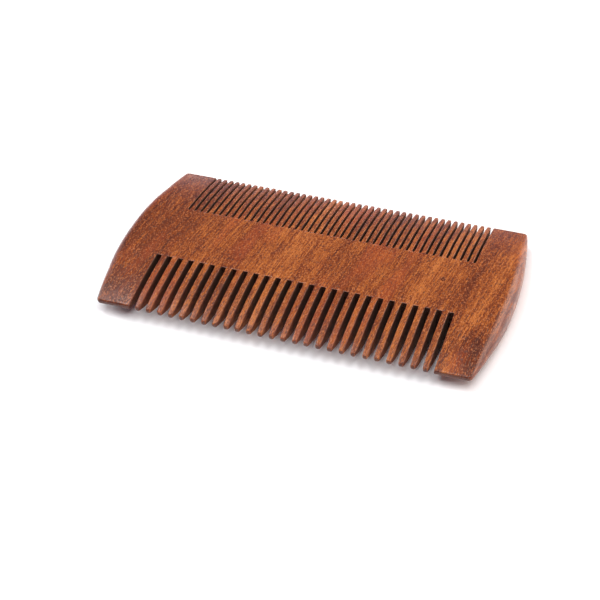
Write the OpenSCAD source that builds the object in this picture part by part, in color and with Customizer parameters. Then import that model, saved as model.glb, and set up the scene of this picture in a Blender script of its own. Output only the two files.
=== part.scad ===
// Two-sided wooden pocket comb: wide coarse teeth on one long side, fine teeth on the other.
// The blank is thickest along its middle and thins to a rounded nose at the tips of the teeth.
// X runs along the length, -Y points to the coarse teeth, +Y to the fine teeth, Z is up.
// The origin is at the middle of the underside, which has a narrow flat to rest on.

/* [Blank] */
// Length over the two bulged ends
overall_length = 104; // [98:1:125]
// Width from the tips of the coarse teeth to the tips of the fine teeth
overall_width = 57.6; // [52:0.2:64]
// Thickness along the middle
thickness = 7.6; // [6:0.2:10]
// Width of the flat along the middle of each face
flat_width = 9; // [6:1:14]
// Radius of the rounded nose along both long edges
nose_radius = 0.8; // [0.7:0.1:1.2]
// How far each end bulges beyond its corners
end_bulge = 3.5; // [1.5:0.1:4]
// Radius of the four corners, seen from above
corner_radius = 1.2; // [1:0.1:3]
// Radius that rounds over the edges of the two ends
end_edge_radius = 2.8; // [1:0.1:2.9]

/* [Rows of teeth] */
// Length of both rows, from the outside of the first slot to the outside of the last
row_length = 79; // [76:0.2:82]
// Number of coarse teeth
coarse_teeth = 26; // [16:1:27]
// Width of the slots between the coarse teeth
coarse_slot = 1.4; // [1:0.1:1.5]
// Length of the coarse teeth
coarse_tooth_length = 18; // [14:0.5:20]
// Number of fine teeth
fine_teeth = 44; // [32:4:48]
// Width of the slots between the fine teeth
fine_slot = 0.6; // [0.4:0.1:0.7]
// Length of the fine teeth
fine_tooth_length = 19.5; // [14:0.5:20]

/* [Tips of the teeth] */
// Length over which a coarse tooth narrows to its tip
coarse_taper = 4; // [2:0.5:7]
// Width of a coarse tooth's rounded tip
coarse_tip = 1.4; // [0.8:0.1:1.4]
// Length over which a fine tooth narrows to its tip
fine_taper = 2.5; // [2:0.5:5]
// Width of a fine tooth's rounded tip
fine_tip = 1; // [0.5:0.1:1]

/* [Hidden] */
// Neighbouring fine teeth that share one node
fine_group = 4;
fine_groups = fine_teeth / fine_group;

// Half sizes of the blank
half_length = overall_length / 2;
half_width = overall_width / 2;
half_thickness = thickness / 2;
half_flat = flat_width / 2;
half_row = row_length / 2;

// Lens-shaped section: an arc on each side of the flat, aimed to run smoothly into the nose
arc_run = half_width - nose_radius - half_flat;
arc_radius = (arc_run ^ 2 + half_thickness ^ 2 - nose_radius ^ 2) / (2 * (half_thickness - nose_radius));
arc_z = half_thickness - arc_radius;

// Bulged ends: one arc through the two corners and the middle of the end
end_radius = (half_width ^ 2 + end_bulge ^ 2) / (2 * end_bulge);
end_x = half_length - end_radius;
corner_y = half_width - corner_radius;
corner_x = end_x + sqrt((end_radius - corner_radius) ^ 2 - corner_y ^ 2);

// Rows of teeth: each row starts and ends with a slot
coarse_pitch = (row_length - coarse_slot) / coarse_teeth;
coarse_width = coarse_pitch - coarse_slot;
coarse_root_y = coarse_tooth_length - half_width;
fine_pitch = (row_length - fine_slot) / fine_teeth;
fine_width = fine_pitch - fine_slot;
fine_root_y = half_width - fine_tooth_length;

// How far a clip reaches past the material that it leaves alone
margin = 1;
// How far a rounding stands off the face it blends into, so that the two cross and don't graze
ease = 0.05;
// Facets of the long shallow arcs and of the small round ones
arc_facets = 360;
round_facets = 48;
wood = [0.56, 0.28, 0.12];

function numbered(name, i) = str(name, i < 10 ? "0" : "", i);

// Everything below the upper surface of the section, in Y and Z about the middle plane
module below_upper_face() {
    for (side = [-1, 1])
        translate([side * half_flat, arc_z])
            circle(r = arc_radius, $fn = arc_facets);
    translate([-half_flat, -half_thickness])
        square([flat_width, thickness]);
}

// Clip that rounds off both long edges of the section
module nose_clip() {
    clip_radius = nose_radius + ease;
    clip_y = half_width - clip_radius;
    translate([-clip_y, -half_thickness - margin])
        square([2 * clip_y, thickness + 2 * margin]);
    for (side = [-1, 1])
        translate([side * clip_y, 0])
            circle(r = clip_radius, $fn = round_facets);
}

// Section across the comb: two shallow arcs with a flat between them and a round nose at each side
module lens_section() {
    intersection() {
        below_upper_face();
        mirror([0, 1])
            below_upper_face();
        nose_clip();
    }
}

// The section drawn out along X from x_low to x_high, standing on the underside's flat
module blank_slice(x_low, x_high) {
    translate([x_low, 0, half_thickness])
        rotate([90, 0, 90])
            linear_extrude(height = x_high - x_low)
                lens_section();
}

// Clip, seen from above, that rounds the two corners of the right end
module corner_clip() {
    translate([half_row, -half_width - margin])
        square([corner_x + ease - half_row, overall_width + 2 * margin]);
    translate([half_row, -corner_y - ease])
        square([half_length + margin - half_row, 2 * (corner_y + ease)]);
    for (side = [-1, 1])
        translate([corner_x + ease, side * (corner_y + ease)])
            circle(r = corner_radius, $fn = round_facets);
}

// Half profile of the bulged end with its edges rounded over: radius and height about the end arc's centre
module end_rim() {
    inner = half_row - margin - end_x;
    rounding_r = end_radius - end_edge_radius;
    rounding_z = half_thickness + ease - end_edge_radius;
    translate([inner, -half_thickness - ease])
        square([rounding_r - inner, thickness + 2 * ease]);
    translate([inner, -rounding_z])
        square([end_radius - inner, 2 * rounding_z]);
    for (side = [-1, 1])
        translate([rounding_r, side * rounding_z])
            circle(r = end_edge_radius, $fn = round_facets);
}

// The solid end beyond the last slots, which guards the rows of teeth
module guard() {
    intersection() {
        blank_slice(half_row, half_length + margin);
        translate([0, 0, -margin])
            linear_extrude(height = thickness + 2 * margin)
                corner_clip();
        translate([end_x, 0, half_thickness])
            rotate_extrude($fn = arc_facets)
                end_rim();
    }
}

// Outline of one tooth from above, with its root at y = 0 and its round tip towards +Y.
// A tip is never wider than its tooth.
module tooth_outline(width, length, taper, tip) {
    tip_width = min(tip, width);
    tip_y = length - tip_width / 2;
    polygon([
        [-width / 2, 0],
        [width / 2, 0],
        [width / 2, length - taper],
        [tip_width / 2, tip_y],
        [-tip_width / 2, tip_y],
        [-width / 2, length - taper]
    ]);
    translate([0, tip_y])
        circle(d = tip_width, $fn = round_facets);
}

// One tooth centred on x, cut from the blank
module tooth(x, root_y, side, width, length, taper, tip) {
    intersection() {
        blank_slice(x - width / 2 - margin, x + width / 2 + margin);
        translate([x, root_y])
            mirror([0, side < 0 ? 1 : 0])
                linear_extrude(height = thickness)
                    tooth_outline(width, length, taper, tip);
    }
}

module spine() {
    color(wood)
        intersection() {
            blank_slice(-half_row, half_row);
            translate([-half_row, coarse_root_y, 0])
                cube([row_length, fine_root_y - coarse_root_y, thickness]);
        }
}

module left_guard() {
    color(wood)
        mirror([1, 0, 0])
            guard();
}

module right_guard() {
    color(wood)
        guard();
}

module coarse_tooth(i) {
    x = (i - 0.5) * coarse_pitch + coarse_slot / 2 - half_row;
    color(wood)
        tooth(x, coarse_root_y, -1, coarse_width, coarse_tooth_length, coarse_taper, coarse_tip);
}

module fine_teeth_group(g) {
    color(wood)
        for (i = [(g - 1) * fine_group + 1 : g * fine_group]) {
            x = (i - 0.5) * fine_pitch + fine_slot / 2 - half_row;
            tooth(x, fine_root_y, 1, fine_width, fine_tooth_length, fine_taper, fine_tip);
        }
}

spine();
left_guard();
right_guard();
for (i = [1:coarse_teeth])
    coarse_tooth(i);
for (g = [1:fine_groups])
    fine_teeth_group(g);
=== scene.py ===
"""Looks of the two-sided wooden comb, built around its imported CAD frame.

Everything is in metres, in the row frame: X along the comb, -Y towards the coarse teeth, Z up.
Each CAD node is replaced by one piece with the same plan and section, sanded a little.
All pieces share one wood whose grain is laid out in the row frame, so it runs on from piece to piece.
"""

import math
import random

import bmesh
import bpy
from mathutils import Matrix, Vector


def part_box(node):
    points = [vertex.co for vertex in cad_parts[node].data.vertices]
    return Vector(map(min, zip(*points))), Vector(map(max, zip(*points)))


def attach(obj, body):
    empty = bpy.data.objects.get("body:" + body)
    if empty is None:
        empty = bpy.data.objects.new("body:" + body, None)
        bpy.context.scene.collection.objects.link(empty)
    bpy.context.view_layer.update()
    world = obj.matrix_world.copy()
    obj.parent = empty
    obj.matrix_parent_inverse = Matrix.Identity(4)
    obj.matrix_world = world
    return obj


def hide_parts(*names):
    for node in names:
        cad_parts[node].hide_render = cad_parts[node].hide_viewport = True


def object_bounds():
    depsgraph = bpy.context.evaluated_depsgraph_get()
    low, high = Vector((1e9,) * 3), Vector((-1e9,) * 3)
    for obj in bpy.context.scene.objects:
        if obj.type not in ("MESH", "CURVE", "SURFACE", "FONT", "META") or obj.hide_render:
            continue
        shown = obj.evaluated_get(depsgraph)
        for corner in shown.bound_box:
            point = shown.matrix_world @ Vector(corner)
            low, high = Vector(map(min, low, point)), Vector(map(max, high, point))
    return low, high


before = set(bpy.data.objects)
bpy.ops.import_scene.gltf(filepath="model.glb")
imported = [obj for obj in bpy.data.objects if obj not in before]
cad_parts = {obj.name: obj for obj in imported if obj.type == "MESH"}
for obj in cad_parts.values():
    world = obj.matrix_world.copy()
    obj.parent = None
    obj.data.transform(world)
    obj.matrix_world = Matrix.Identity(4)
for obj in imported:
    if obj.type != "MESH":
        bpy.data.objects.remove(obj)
cad_low, cad_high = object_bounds()
rng = random.Random(26)

MM = 0.001

# Section of the blank, as in the CAD: a flat, an arc on each side of it and a round nose
FLAT_WIDTH = 9 * MM
NOSE_RADIUS = 0.8 * MM
NOSE_EASE = 0.05 * MM
# 2 would be a round nose; more gives it a crisper upper edge and a flatter front
NOSE_POWER = 2.2
# The bulged end and its corners, as in the CAD
END_BULGE = 3.5 * MM
CORNER_RADIUS = 1.2 * MM
END_EDGE_RADIUS = 2.8 * MM
# Plan of the teeth, as in the CAD
COARSE_TAPER = 4 * MM
COARSE_TIP = 1.4 * MM
FINE_TAPER = 2.5 * MM
FINE_TIP = 1.0 * MM
# Neighbouring fine teeth that share one node
FINE_GROUP = 4

# Where two pieces meet they are flush; away from the joint their edges are eased over this length
EASE_RUN = 1.2 * MM
EDGE_RADIUS = 0.2 * MM
FINE_EDGE_RADIUS = 0.15 * MM
# What sanding takes off each side of a tooth
SANDING = 0.04 * MM
# Radius of a tip's edges as a share of its width
COARSE_ROUNDING = 0.36
FINE_ROUNDING = 0.2
# 1 would be a straight taper; more keeps a tooth full until near its tip
TAPER_POWER = 1.5
# 2 would make a tip a half circle seen from above; more makes it blunter, with a small flat at its end
CAP_POWER = 2.8
CAP_ANGLE = math.radians(84)
# How much the teeth differ: in length, in taper and tip as shares, and in sideways lean
LENGTH_SPREAD = 0.12 * MM
TAPER_SPREAD = 0.15
TIP_SPREAD = 0.05
LEAN_SPREAD = 0.05 * MM
# The most that a rounding may take of the half width or half thickness where the wood runs out
TOOTH_LIMIT = 0.98
GUARD_LIMIT = 0.9
# Share of a slot's width, at each of its sides, over which the spine's edge is eased
SLOT_EASE = 0.25
# How far in from the spine's sides its evenly spaced points start
SPINE_MARGIN = 1.5 * EDGE_RADIUS

# Width of the flat strip beside every rounding, and the share that it may take of the room for it
STRIP = 0.12 * MM
STRIP_SHARE = 0.8
# Rings along a tooth, in its four stretches
ROOT_STEPS = 4
STRAIGHT_STEPS = 12
TAPER_STEPS = 8
CAP_STEPS = 8
# Rings across a guard, between its corners and round each of them
GUARD_STEPS = 70
CORNER_STEPS = 26
# Points across the spine's faces
SPINE_STEPS = 44
# Points round one edge of a tooth, a guard and the spine
TOOTH_EDGE_STEPS = 4
GUARD_EDGE_STEPS = 10
SPINE_EDGE_STEPS = 3
# Points closer together than this are one point
MERGE_DISTANCE = 1e-7
SHARP_ANGLE = math.radians(40)

HALF_LENGTH = cad_high.x
HALF_WIDTH = cad_high.y
HALF_THICKNESS = cad_high.z / 2
MID_Z = HALF_THICKNESS
HALF_FLAT = FLAT_WIDTH / 2

# The section's long arcs run smoothly into the nose
ARC_RUN = HALF_WIDTH - NOSE_RADIUS - HALF_FLAT
ARC_RISE = HALF_THICKNESS - NOSE_RADIUS
ARC_RADIUS = (ARC_RUN ** 2 + HALF_THICKNESS ** 2 - NOSE_RADIUS ** 2) / (2 * ARC_RISE)
ARC_Z = HALF_THICKNESS - ARC_RADIUS
CLIP_RADIUS = NOSE_RADIUS + NOSE_EASE
CLIP_Y = HALF_WIDTH - CLIP_RADIUS

# The ends are one arc each, with a smaller arc round each corner
END_RADIUS = (HALF_WIDTH ** 2 + END_BULGE ** 2) / (2 * END_BULGE)
END_X = HALF_LENGTH - END_RADIUS
CORNER_Y = HALF_WIDTH - CORNER_RADIUS
CORNER_X = END_X + math.sqrt((END_RADIUS - CORNER_RADIUS) ** 2 - CORNER_Y ** 2)


def clamp(value):
    """value, but no less than 0 and no more than 1."""
    return max(0.0, min(1.0, value))


def smooth(value):
    """0 below 0, 1 above 1, and an S-curve between."""
    t = clamp(value)
    return t * t * (3 - 2 * t)


def blend(a, b, share):
    return a + (b - a) * share


def spread(low, high, steps):
    """steps + 1 evenly spaced values from low to high."""
    return [blend(low, high, k / steps) for k in range(steps + 1)]


def squircle(share, power):
    """Height at share of the way out, from 1 in the middle to 0 at the rim. A power of 2 is a circle."""
    return max(1 - share ** power, 0) ** (1 / power)


def half_thickness(y):
    """Half the blank's thickness at a distance y from its middle line."""
    across = min(abs(y), HALF_WIDTH)
    arc = ARC_Z + math.sqrt(ARC_RADIUS ** 2 - max(across - HALF_FLAT, 0) ** 2)
    if across <= CLIP_Y:
        return arc
    into_nose = (across - CLIP_Y) / CLIP_RADIUS
    return min(arc, CLIP_RADIUS * squircle(into_nose, NOSE_POWER))


def end_reach(y):
    """How far the bulged end reaches in X at a distance y from the middle line."""
    across = min(abs(y), HALF_WIDTH)
    end = END_X + math.sqrt(END_RADIUS ** 2 - across ** 2)
    if across <= CORNER_Y:
        return end
    corner = math.sqrt(max(CORNER_RADIUS ** 2 - (across - CORNER_Y) ** 2, 0))
    return min(CORNER_X + corner, end)


def nodes_named(start):
    """The frame's nodes whose names begin with start, in order."""
    return sorted(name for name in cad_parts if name.startswith(start))


# ---------------------------------------------------------------- meshes


def piece_from_loops(name, shells, node):
    """One mesh piece in the place of a node, made of closed shells.

    Each shell is a list of rings with the same number of points, and is capped at both ends.
    """
    mesh = bpy.data.meshes.new(name)
    work = bmesh.new()
    for rings in shells:
        rows = [[work.verts.new(point) for point in ring] for ring in rings]
        count = len(rows[0])
        for near, far in zip(rows, rows[1:]):
            for k in range(count):
                after = (k + 1) % count
                work.faces.new((near[k], near[after], far[after], far[k]))
        work.faces.new(list(reversed(rows[0])))
        work.faces.new(rows[-1])
    bmesh.ops.remove_doubles(work, verts=work.verts, dist=MERGE_DISTANCE)
    bmesh.ops.dissolve_degenerate(work, edges=work.edges, dist=MERGE_DISTANCE)
    bmesh.ops.recalc_face_normals(work, faces=work.faces)
    work.to_mesh(mesh)
    work.free()
    mesh.shade_smooth()
    mesh.set_sharp_from_angle(angle=SHARP_ANGLE)
    made = bpy.data.objects.new(name, mesh)
    bpy.context.scene.collection.objects.link(made)
    made.data.materials.append(WOOD)
    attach(made, "root")
    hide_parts(node)


def ring_at(y, low_x, high_x, half_z, low_radius, high_radius, steps):
    """A rounded rectangle in X and Z at y. The edges at low x and at high x have their own radii.

    A point on each side of every rounding keeps the flat faces beside it flat in their shading.
    """
    corners = (
        (high_x, -1, 1, high_radius),
        (low_x, 1, 1, low_radius),
        (low_x, 1, -1, low_radius),
        (high_x, -1, -1, high_radius),
    )
    points = []
    for corner, (x, inward, up, radius) in enumerate(corners):
        centre_x = x + inward * radius
        centre_z = MID_Z + up * (half_z - radius)
        room = min((high_x - low_x) / 2, half_z) - radius
        strip = min(STRIP, STRIP_SHARE * room)
        first = corner * math.pi / 2
        last = first + math.pi / 2
        turns = spread(first, last, steps)
        arc = [(centre_x + radius * math.cos(a), centre_z + radius * math.sin(a)) for a in turns]
        before = (arc[0][0] + strip * math.sin(first), arc[0][1] - strip * math.cos(first))
        after = (arc[-1][0] - strip * math.sin(last), arc[-1][1] + strip * math.cos(last))
        points += [Vector((px, y, pz)) for px, pz in (before, *arc, after)]
    return points


# ---------------------------------------------------------------- teeth


def tooth_rings(x, root_y, tip_y, width, taper, tip, edge, rounding):
    """Rings of one tooth from its flush root to its rounded tip."""
    side = 1 if tip_y > root_y else -1
    length = abs(tip_y - root_y) - rng.uniform(0, LENGTH_SPREAD)
    taper *= rng.uniform(1 - TAPER_SPREAD, 1 + TAPER_SPREAD)
    tip *= rng.uniform(1 - TIP_SPREAD, 1)
    lean = rng.uniform(-LEAN_SPREAD, LEAN_SPREAD)
    tip_radius = tip / 2
    straight = length - taper
    cap_start = length - tip_radius
    stations = spread(0, EASE_RUN, ROOT_STEPS)
    stations += spread(EASE_RUN, straight, STRAIGHT_STEPS)[1:]
    stations += spread(straight, cap_start, TAPER_STEPS)[1:]
    stations += [cap_start + tip_radius * math.sin(a) for a in spread(0, CAP_ANGLE, CAP_STEPS)[1:]]
    rings = []
    for run in stations:
        y = root_y + side * run
        half_z = half_thickness(y)
        into_ease = smooth(run / EASE_RUN)
        into_taper = clamp((run - straight) / (cap_start - straight))
        if run > cap_start:
            half_x = tip_radius * squircle((run - cap_start) / tip_radius, CAP_POWER)
        else:
            half_x = blend(width / 2 - SANDING * into_ease, tip_radius, into_taper ** TAPER_POWER)
        radius = blend(edge * into_ease, rounding * tip, into_taper ** TAPER_POWER)
        radius = min(radius, half_x * TOOTH_LIMIT, half_z * TOOTH_LIMIT)
        centre = x + lean * into_taper ** 2
        rings.append(ring_at(
            y, centre - half_x, centre + half_x, half_z, radius, radius, TOOTH_EDGE_STEPS))
    return rings


def add_coarse_teeth():
    root_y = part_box("spine")[0].y
    for name in nodes_named("coarse_tooth_"):
        low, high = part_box(name)
        rings = tooth_rings(
            (low.x + high.x) / 2, root_y, low.y, high.x - low.x,
            COARSE_TAPER, COARSE_TIP, EDGE_RADIUS, COARSE_ROUNDING)
        piece_from_loops("wood_" + name, [rings], name)


def fine_tooth_spans():
    """For each fine node, the low and high x of each of its teeth."""
    boxes = [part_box(name) for name in nodes_named("fine_teeth_group_")]
    pitch = (boxes[1][0].x - boxes[0][0].x) / FINE_GROUP
    spans = []
    for low, high in boxes:
        width = high.x - low.x - (FINE_GROUP - 1) * pitch
        starts = [low.x + k * pitch for k in range(FINE_GROUP)]
        spans.append([(start, start + width) for start in starts])
    return spans


def add_fine_teeth():
    root_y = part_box("spine")[1].y
    for name, spans in zip(nodes_named("fine_teeth_group_"), fine_tooth_spans()):
        tip_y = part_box(name)[1].y
        shells = [
            tooth_rings(
                (start + end) / 2, root_y, tip_y, end - start,
                FINE_TAPER, FINE_TIP, FINE_EDGE_RADIUS, FINE_ROUNDING)
            for start, end in spans
        ]
        piece_from_loops("wood_" + name, shells, name)


# ---------------------------------------------------------------- guards


def guard_stations():
    """Places along Y for the guards' rings, closer together where the corners and roots need it."""
    spine_low, spine_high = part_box("spine")
    places = spread(-CORNER_Y, CORNER_Y, GUARD_STEPS)
    for root, side in ((spine_low.y, -1), (spine_high.y, 1)):
        places += [root + side * run for run in spread(0, EASE_RUN, ROOT_STEPS)]
    for a in spread(0, math.pi / 2, CORNER_STEPS)[1:]:
        reach = CORNER_Y + CORNER_RADIUS * math.sin(a)
        places += [-reach, reach]
    return sorted(places)


def add_guard(name, side):
    """One solid end. side is 1 for the right guard and -1 for the left."""
    spine_low, spine_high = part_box("spine")
    rings = []
    for y in guard_stations():
        half_z = half_thickness(y)
        past_root = max(spine_low.y - y, y - spine_high.y, 0)
        inner_radius = min(EDGE_RADIUS * smooth(past_root / EASE_RUN), half_z * GUARD_LIMIT)
        outer_radius = min(END_EDGE_RADIUS, half_z)
        ring = ring_at(
            y, spine_high.x, end_reach(y), half_z, inner_radius, outer_radius, GUARD_EDGE_STEPS)
        rings.append([Vector((side * p.x, p.y, p.z)) for p in ring])
    piece_from_loops("wood_" + name, [rings], name)


# ---------------------------------------------------------------- spine


def slots_between(teeth, low_x, high_x):
    """What a row of teeth leaves open from low_x to high_x. teeth holds their low and high x."""
    starts = [low_x] + [high for low, high in teeth]
    ends = [low for low, high in teeth] + [high_x]
    return list(zip(starts, ends))


def spine_stations(slots, low_x, high_x):
    """Places along X for the spine's rings: its ends, and where each slot's easing starts and ends."""
    places = {low_x, high_x}
    for start, end in slots:
        ease = (end - start) * SLOT_EASE
        places.update((start, start + ease, end - ease, end))
    places = sorted(places)
    return [x for k, x in enumerate(places) if k == 0 or x - places[k - 1] > MERGE_DISTANCE]


def slot_edge_radius(slots, x):
    """Radius of the spine's edge at x: none beside a tooth, and full in the middle of a slot."""
    for start, end in slots:
        if start <= x <= end:
            ease = (end - start) * SLOT_EASE
            return EDGE_RADIUS * clamp(min(x - start, end - x) / ease)
    return 0.0


def spine_ring(x, low_y, high_y, near, far):
    """The spine's section at x. near and far are the radii of its edges at low y and at high y."""
    turns = spread(0, math.pi / 2, SPINE_EDGE_STEPS)
    near_z = half_thickness(low_y + near) - near
    far_z = half_thickness(high_y - far) - far
    across = spread(low_y + SPINE_MARGIN, high_y - SPINE_MARGIN, SPINE_STEPS)
    outline = [(low_y + near - near * math.cos(a), near_z + near * math.sin(a)) for a in turns]
    outline += [(y, half_thickness(y)) for y in across]
    outline += [(high_y - far + far * math.cos(a), far_z + far * math.sin(a)) for a in reversed(turns)]
    top = [Vector((x, y, MID_Z + z)) for y, z in outline]
    underside = [Vector((x, y, MID_Z - z)) for y, z in reversed(outline)]
    return top + underside


def add_spine():
    """The solid middle band. Its edges are eased beside a slot and flush beside a tooth."""
    low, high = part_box("spine")
    coarse = []
    for name in nodes_named("coarse_tooth_"):
        tooth_low, tooth_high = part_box(name)
        coarse.append((tooth_low.x, tooth_high.x))
    fine = [span for spans in fine_tooth_spans() for span in spans]
    near_slots = slots_between(coarse, low.x, high.x)
    far_slots = slots_between(fine, low.x, high.x)
    rings = []
    for x in spine_stations(near_slots + far_slots, low.x, high.x):
        near = slot_edge_radius(near_slots, x)
        far = slot_edge_radius(far_slots, x)
        rings.append(spine_ring(x, low.y, high.y, near, far))
    piece_from_loops("wood_spine", [rings], "spine")


# ---------------------------------------------------------------- materials


class Graph:
    """Shader nodes in few words. Most methods return the output of the last node that they add."""

    def __init__(self, name):
        self.material = bpy.data.materials.new(name)
        self.material.use_nodes = True
        self.tree = self.material.node_tree
        self.tree.nodes.clear()

    def feed(self, socket, value):
        if isinstance(value, bpy.types.NodeSocket):
            self.tree.links.new(value, socket)
        else:
            socket.default_value = value

    def add(self, kind, inputs, **settings):
        """One node of any kind, with its inputs fed. Returns the node itself."""
        made = self.tree.nodes.new("ShaderNode" + kind)
        for name, value in settings.items():
            setattr(made, name, value)
        for name, value in inputs.items():
            self.feed(made.inputs[name], value)
        return made

    def math(self, operation, a, b=0.0, clamped=False):
        return self.add("Math", {0: a, 1: b}, operation=operation, use_clamp=clamped).outputs[0]

    def swing(self, value, strength):
        """How far value is from 0.5, times strength."""
        return self.math("MULTIPLY", self.math("SUBTRACT", value, 0.5), strength)

    def axis(self, vector, name):
        return self.add("SeparateXYZ", {"Vector": vector}).outputs[name]

    def size_of(self, vector, name):
        """The vector's size along one axis, whichever way it points."""
        return self.math("ABSOLUTE", self.axis(vector, name))

    def stretch(self, vector, size):
        """vector counted in steps of size, in mm along each axis."""
        scale = tuple(1 / (s * MM) for s in size)
        return self.add("VectorMath", {0: vector, 1: scale}, operation="MULTIPLY").outputs[0]

    def noise(self, vector, size, detail=2.0, roughness=0.5):
        inputs = {
            "Vector": self.stretch(vector, size),
            "Scale": 1.0,
            "Detail": detail,
            "Roughness": roughness,
        }
        return self.add("TexNoise", inputs, noise_dimensions="3D").outputs["Fac"]

    def remap(self, value, low, high, to_low=0.0, to_high=1.0, curve="SMOOTHSTEP"):
        """value stretched from low..high to to_low..to_high. low may be the larger of the two."""
        inputs = {
            "Value": value,
            "From Min": low,
            "From Max": high,
            "To Min": to_low,
            "To Max": to_high,
        }
        return self.add("MapRange", inputs, clamp=True, interpolation_type=curve).outputs["Result"]

    def ramp(self, value, stops, interpolation="LINEAR"):
        """A colour ramp through (position, colour) stops."""
        made = self.add("ValToRGB", {"Fac": value})
        made.color_ramp.interpolation = interpolation
        elements = made.color_ramp.elements
        while len(elements) < len(stops):
            elements.new(0.5)
        for element, (position, colour) in zip(elements, stops):
            element.position = position
            element.color = (*colour, 1)
        return made.outputs["Color"]

    def tint(self, colour, where, share, other):
        """colour with share of it swapped for other, as far as where is above 0."""
        made = self.add("Mix", {}, data_type="RGBA", clamp_factor=True)
        self.feed(made.inputs["Factor"], self.math("MULTIPLY", where, share))
        self.feed(made.inputs["A"], colour)
        self.feed(made.inputs["B"], (*other, 1))
        return made.outputs["Result"]

    def finish(self, inputs):
        """Ends the graph in one surface shader and returns the material."""
        shader = self.add("BsdfPrincipled", inputs)
        output = self.add("OutputMaterial", {})
        self.tree.links.new(shader.outputs["BSDF"], output.inputs["Surface"])
        return self.material


# Growth bands across the blank: where each lies along X at the middle line, in mm, and how dark it is
BANDS = (
    (-52, 0.86), (-47, 1.00), (-43, 0.90), (-39, 0.92), (-35, 0.80), (-31, 0.48), (-27, 0.54),
    (-23, 0.50), (-19, 0.74), (-15, 0.46), (-11, 0.44), (-7, 0.02), (-4, 0.34), (-1, 0.52),
    (2, 0.48), (5, 0.72), (8, 0.46), (11, 0.72), (15, 0.66), (19, 0.42), (23, 0.50), (26, 0.56),
    (30, 0.10), (35, 0.42), (38, 0.66), (41, 0.80), (43, 0.54), (46, 0.18), (49, 0.48), (52, 0.54),
)
BANDED_LENGTH = 104
# How far the bands wander sideways, and how far they shift for each unit of depth
BAND_WANDER = 5 * MM
BAND_SLANT = 0.35
# The grain runs across the comb, at a small angle to Y
GRAIN_TILT = math.atan(0.12)
# Dark places in the wood: middle in X and Y, reach in X and Y, all in mm, and strength
CLOUDS = (
    (46, -22, 6, 10, 0.8),
    (-45, -25, 7, 8, 0.4),
    (33.4, 0.7, 0.6, 1.0, 2.4),
)

# Sizes of the wood's marks in mm: across the grain, along it and through the thickness
WANDER_SIZE = (14, 34, 20)
PATCH_SIZE = (7, 26, 14)
STREAK_SIZE = (1.2, 55, 5)
FIBRE_SIZE = (0.32, 4.5, 1.0)
FLECK_SIZE = (0.20, 0.65, 0.4)
GLINT_SIZE = (0.22, 0.6, 0.4)
PORE_SIZE = (0.24, 1.3, 0.5)
SAW_MARK_SIZE = (6, 0.35, 6)

# How much each kind of mark darkens the wood. Flecks, glints and pores are quieter on end faces.
STREAKS = 1.5
FIBRES = 3.1
FLECKS = 2.6
END_FLECKS = 1.1
END_SPOTS = 0.35
BASE_DARKNESS = 0.2
# Sums of bands and marks that give the lightest and the darkest wood
LIGHTEST = -0.6
DARKEST = 1.8

# The wood's colours from light to dark
WOOD_COLOURS = (
    (0.0, (0.520, 0.172, 0.042)),
    (0.25, (0.400, 0.120, 0.027)),
    (0.42, (0.292, 0.077, 0.015)),
    (0.55, (0.208, 0.047, 0.010)),
    (0.70, (0.130, 0.025, 0.007)),
    (1.0, (0.065, 0.013, 0.005)),
)
# What is mixed in over them: the share of it at full strength, and its colour
RED_PATCH = (0.4, (0.33, 0.062, 0.019))
GLINT = (0.6, (0.50, 0.18, 0.07))
PORE = (0.7, (0.060, 0.014, 0.005))
END_GRAIN = (0.8, (0.070, 0.016, 0.007))
# The next colour is painted shade: near black on the slots' root walls, where shade falls
SLOT_ROOT_SHADE = (0.85, (0.020, 0.007, 0.004))
# The walls of the slots have one share near the tips and another near the roots: a darker sawn colour
# near the tips, and painted shade that deepens it towards the roots
SAWN_WALL_AND_SHADE_COLOUR = (0.050, 0.020, 0.007)
WALL_AND_SHADE_SHARES = (0.35, 0.88)

# Distances from the middle line: painted shade on a slot's walls deepens from TIP_DEPTH inwards to
# ROOT_DEPTH, and painted shade darkens its root wall from ROOT_FADE inwards
TIP_DEPTH = 28 * MM
ROOT_FADE = 20 * MM
ROOT_DEPTH = 15 * MM
# Along the comb, every slot wall lies within the first of these, and both end faces lie beyond
# the second, but for a trace at two of their corners
WALLS_WITHIN = 43 * MM
ENDS_BEYOND = 45 * MM

# Roughness where the fibres lie low and high, and what pores and sawn walls add to it
ROUGHNESS = (0.24, 0.34)
PORE_ROUGHNESS = 0.2
WALL_ROUGHNESS = 0.5
WOOD_IOR = 1.5
# Depth and strength of the relief, and what each mark adds to it. Pores are its deepest places.
RELIEF_DEPTH = 0.03 * MM
RELIEF_STRENGTH = 0.35
FIBRE_RELIEF = 0.35
FLECK_RELIEF = 0.25
SAW_RELIEF = 1.2


def growth_bands(g, grain):
    """How dark the bands are. They wander along the grain and slant through the thickness."""
    wander = g.swing(g.noise(grain, WANDER_SIZE), BAND_WANDER)
    depth = g.math("SUBTRACT", g.axis(grain, "Z"), 2 * HALF_THICKNESS)
    across = g.math("ADD", g.axis(grain, "X"), wander)
    across = g.math("ADD", across, g.math("MULTIPLY", depth, BAND_SLANT))
    position = g.math("ADD", g.math("DIVIDE", across, 2 * HALF_LENGTH), 0.5)
    stops = [(x / BANDED_LENGTH + 0.5, (dark,) * 3) for x, dark in BANDS]
    return g.ramp(position, stops, "EASE")


def dark_places(g, place):
    """The darkness that each of CLOUDS adds, strongest in its middle."""
    added = []
    for x, y, reach_x, reach_y, strength in CLOUDS:
        middle = (x * MM, y * MM, 0)
        per_reach = (1 / (reach_x * MM), 1 / (reach_y * MM), 0)
        offset = g.add("VectorMath", {0: place, 1: middle}, operation="SUBTRACT").outputs[0]
        scaled = g.add("VectorMath", {0: offset, 1: per_reach}, operation="MULTIPLY").outputs[0]
        distance = g.add("VectorMath", {0: scaled}, operation="LENGTH").outputs["Value"]
        added.append(g.remap(distance, 1.0, 0.2, 0.0, strength))
    return added


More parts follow.
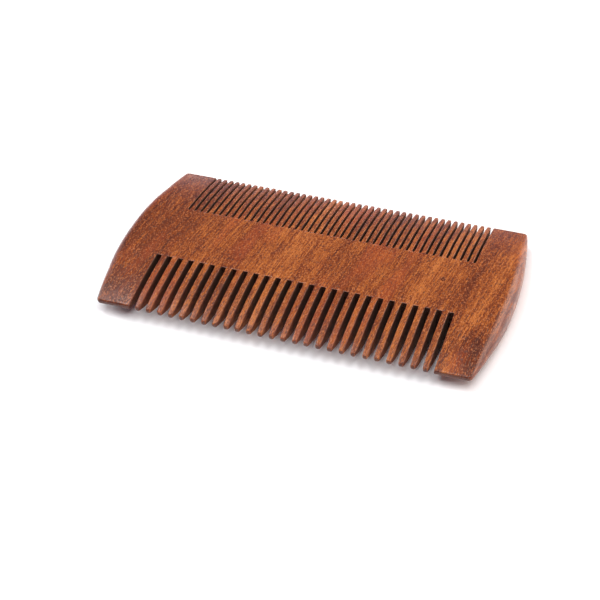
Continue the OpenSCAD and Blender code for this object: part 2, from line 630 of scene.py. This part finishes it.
def wood_marks(g, grain):
    """The marks that the wood's colour, roughness and relief share, by name."""
    normal = g.add("NewGeometry", {}).outputs["Normal"]
    end_facing = g.size_of(normal, "X")
    spot_strength = g.remap(end_facing, 0.2, 0.8, 1.0, END_SPOTS)
    # Only the peaks of the glints' noise and the troughs of the pores' noise show
    glints = g.remap(g.noise(grain, GLINT_SIZE, detail=0.0), 0.57, 0.70)
    pores = g.remap(g.noise(grain, PORE_SIZE, detail=0.0, roughness=0.4), 0.38, 0.27)
    # A sawn wall faces along the comb and lies between the two guards
    in_rows = g.remap(g.size_of(grain, "X"), ENDS_BEYOND, WALLS_WITHIN)
    return {
        "fibres": g.noise(grain, FIBRE_SIZE, detail=1.5, roughness=0.6),
        "flecks": g.noise(grain, FLECK_SIZE, detail=1.0),
        "fleck_strength": g.remap(end_facing, 0.2, 0.8, FLECKS, END_FLECKS),
        "glints": g.math("MULTIPLY", glints, spot_strength),
        "pores": g.math("MULTIPLY", pores, spot_strength),
        "walls": g.math("MULTIPLY", g.remap(end_facing, 0.75, 0.97), in_rows),
        "end_grain": g.remap(g.size_of(normal, "Y"), 0.7, 0.97),
    }


def wood_darkness(g, place, grain, marks):
    """How dark the wood is, from 0 to 1, by its bands, streaks, fibres, flecks and dark places."""
    streaks = g.noise(grain, STREAK_SIZE, detail=3.0, roughness=0.6)
    added = [
        g.swing(streaks, STREAKS),
        g.swing(marks["fibres"], FIBRES),
        g.swing(marks["flecks"], marks["fleck_strength"]),
        BASE_DARKNESS,
    ]
    darkness = growth_bands(g, grain)
    for value in added + dark_places(g, place):
        darkness = g.math("ADD", darkness, value)
    return g.remap(darkness, LIGHTEST, DARKEST, curve="LINEAR")


def wood_colour(g, place, grain, marks):
    """The wood's colour, with its spots and darker cut faces mixed in, and painted shade at the slots'
    roots and on their walls.
    """
    red_patches = g.remap(g.noise(grain, PATCH_SIZE), 0.5, 0.72)
    colour = g.ramp(wood_darkness(g, place, grain, marks), WOOD_COLOURS)
    colour = g.tint(colour, red_patches, *RED_PATCH)
    colour = g.tint(colour, marks["glints"], *GLINT)
    colour = g.tint(colour, marks["pores"], *PORE)

    # End grain, on the tips and at the slots' roots, drinks more oil and looks darker; at the slots'
    # roots painted shade then darkens it almost to black
    off_middle = g.size_of(place, "Y")
    painted_root_shade = g.math("MULTIPLY", marks["end_grain"], g.remap(off_middle, ROOT_FADE, ROOT_DEPTH))
    colour = g.tint(colour, marks["end_grain"], *END_GRAIN)
    colour = g.tint(colour, painted_root_shade, *SLOT_ROOT_SHADE)

    # The sawn walls of the slots get a darker sawn colour, with painted shade that deepens it towards
    # the roots
    wall_and_shade_share = g.remap(off_middle, TIP_DEPTH, ROOT_DEPTH, *WALL_AND_SHADE_SHARES)
    return g.tint(colour, marks["walls"], wall_and_shade_share, SAWN_WALL_AND_SHADE_COLOUR)


def wood_roughness(g, marks):
    """Satin on the sanded faces, duller in the pores and dull on the sawn walls."""
    rough = g.remap(marks["fibres"], 0.2, 0.8, *ROUGHNESS)
    rough = g.math("ADD", rough, g.math("MULTIPLY", marks["pores"], PORE_ROUGHNESS))
    return g.math("ADD", rough, g.math("MULTIPLY", marks["walls"], WALL_ROUGHNESS), clamped=True)


def wood_relief(g, place, marks):
    """The normal of a fine relief: raised fibres and flecks, sunk pores, and saw marks on the walls."""
    saw_marks = g.math("MULTIPLY", marks["walls"], g.noise(place, SAW_MARK_SIZE))
    height = g.math("SUBTRACT", g.math("MULTIPLY", marks["fibres"], FIBRE_RELIEF), marks["pores"])
    height = g.math("ADD", height, g.math("MULTIPLY", marks["flecks"], FLECK_RELIEF))
    height = g.math("ADD", height, g.math("MULTIPLY", saw_marks, SAW_RELIEF))
    inputs = {"Height": height, "Strength": RELIEF_STRENGTH, "Distance": RELIEF_DEPTH}
    return g.add("Bump", inputs).outputs["Normal"]


def make_wood():
    g = Graph("sandalwood")
    place = g.add("TexCoord", {}).outputs["Object"]
    grain = g.add("Mapping", {"Vector": place, "Rotation": (0, 0, GRAIN_TILT)}).outputs["Vector"]
    marks = wood_marks(g, grain)
    return g.finish({
        "Base Color": wood_colour(g, place, grain, marks),
        "Roughness": wood_roughness(g, marks),
        "IOR": WOOD_IOR,
        "Normal": wood_relief(g, place, marks),
    })


PAPER_SPECKLE = (40, 40, 40)
PAPER_COLOURS = (
    (0.0, (0.90, 0.90, 0.905)),
    (1.0, (0.93, 0.93, 0.935)),
)


def make_paper():
    g = Graph("white_paper")
    place = g.add("TexCoord", {}).outputs["Object"]
    speckle = g.noise(place, PAPER_SPECKLE, detail=3.0)
    return g.finish({"Base Color": g.ramp(speckle, PAPER_COLOURS), "Roughness": 0.9})


# ---------------------------------------------------------------- stage

FLOOR_REACH = 3.0
FLOOR_GAP = 0.02 * MM

# The room's light low down and high up: Z of the direction it comes from, and colour
LOW_LIGHT = (0.12, (0.28, 0.20, 0.38))
HIGH_LIGHT = (0.45, (0.08, 0.08, 0.1))

# The photograph's viewpoint: place, angles in degrees, and lens and sensor in mm
CAMERA_PLACE = (0.10245, -0.26634, 0.23392)
CAMERA_AZIMUTH = 21.949
CAMERA_ELEVATION = 40.146
CAMERA_ROLL = -3.094
LENS = 85.67
SENSOR_WIDTH = 36


def add_floor():
    """A large plain floor, a hair below the comb so that no two faces lie in one plane."""
    mesh = bpy.data.meshes.new("floor")
    signs = ((-1, -1), (1, -1), (1, 1), (-1, 1))
    corners = [(x * FLOOR_REACH, y * FLOOR_REACH, -FLOOR_GAP) for x, y in signs]
    mesh.from_pydata(corners, [], [(0, 1, 2, 3)])
    floor = bpy.data.objects.new("floor", mesh)
    bpy.context.scene.collection.objects.link(floor)
    floor.data.materials.append(make_paper())


def add_softbox(name, place, size, power, colour=(1, 1, 1)):
    """A rectangular light that faces the middle of the comb. Sizes in metres, power in watts."""
    data = bpy.data.lights.new(name, "AREA")
    data.shape = "RECTANGLE"
    data.size, data.size_y = size
    data.energy = power
    data.color = colour
    light = bpy.data.objects.new(name, data)
    bpy.context.scene.collection.objects.link(light)
    light.location = place
    light.rotation_mode = "QUATERNION"
    light.rotation_quaternion = (-Vector(place)).to_track_quat("-Z", "Y")


def add_lights():
    # The main light, above and a little to the front
    add_softbox("overhead", (0.12, -0.26, 0.96), (0.9, 0.8), 9.7)
    # Low from the left, on the left sides of the teeth and guards
    add_softbox("left", (-0.84, 0.10, 0.50), (0.5, 0.5), 4.6)
    # The sheen on the left guard's near part
    add_softbox("high_left", (-0.42, 0.10, 0.90), (0.25, 0.25), 1.9)
    # A warm light on the right end's face
    add_softbox("right_panel", (0.74, 0.54, 0.38), (1.1, 0.7), 8.9, (1, 0.86, 0.76))
    # A faint glow for the far slope to mirror
    add_softbox("backdrop", (-0.34, 0.93, 0.13), (0.4, 0.16), 0.22)


def add_world():
    """A pale backdrop low down all round and a dimmer room above it."""
    world = bpy.data.worlds.new("studio")
    world.use_nodes = True
    tree = world.node_tree
    coords = tree.nodes.new("ShaderNodeTexCoord")
    parts = tree.nodes.new("ShaderNodeSeparateXYZ")
    ramp = tree.nodes.new("ShaderNodeValToRGB")
    tree.links.new(coords.outputs["Generated"], parts.inputs["Vector"])
    tree.links.new(parts.outputs["Z"], ramp.inputs["Fac"])
    tree.links.new(ramp.outputs["Color"], tree.nodes["Background"].inputs["Color"])
    for element, (height, colour) in zip(ramp.color_ramp.elements, (LOW_LIGHT, HIGH_LIGHT)):
        element.position = height
        element.color = (*colour, 1)
    tree.nodes["Background"].inputs["Strength"].default_value = 1.0
    bpy.context.scene.world = world


def viewpoint(place, azimuth, elevation, roll):
    """A camera matrix at place that looks down by elevation and turns by azimuth from +Y, in degrees."""
    turn = Matrix.Rotation(math.radians(azimuth), 4, "Z")
    tip = Matrix.Rotation(math.radians(90 - elevation), 4, "X")
    twist = Matrix.Rotation(math.radians(roll), 4, "Z")
    return Matrix.Translation(Vector(place)) @ turn @ tip @ twist


def add_camera():
    """The photograph's viewpoint, from the front right and above."""
    data = bpy.data.cameras.new("camera")
    data.sensor_width = SENSOR_WIDTH
    data.lens = LENS
    data.clip_start = 0.01
    data.clip_end = 20
    camera = bpy.data.objects.new("camera", data)
    bpy.context.scene.collection.objects.link(camera)
    camera.matrix_world = viewpoint(CAMERA_PLACE, CAMERA_AZIMUTH, CAMERA_ELEVATION, CAMERA_ROLL)
    bpy.context.scene.camera = camera


# ---------------------------------------------------------------- build

WOOD = make_wood()
add_spine()
add_guard("left_guard", -1)
add_guard("right_guard", 1)
add_coarse_teeth()
add_fine_teeth()

add_floor()
add_world()
add_lights()
add_camera()
bpy.context.scene.view_settings.view_transform = "Standard"
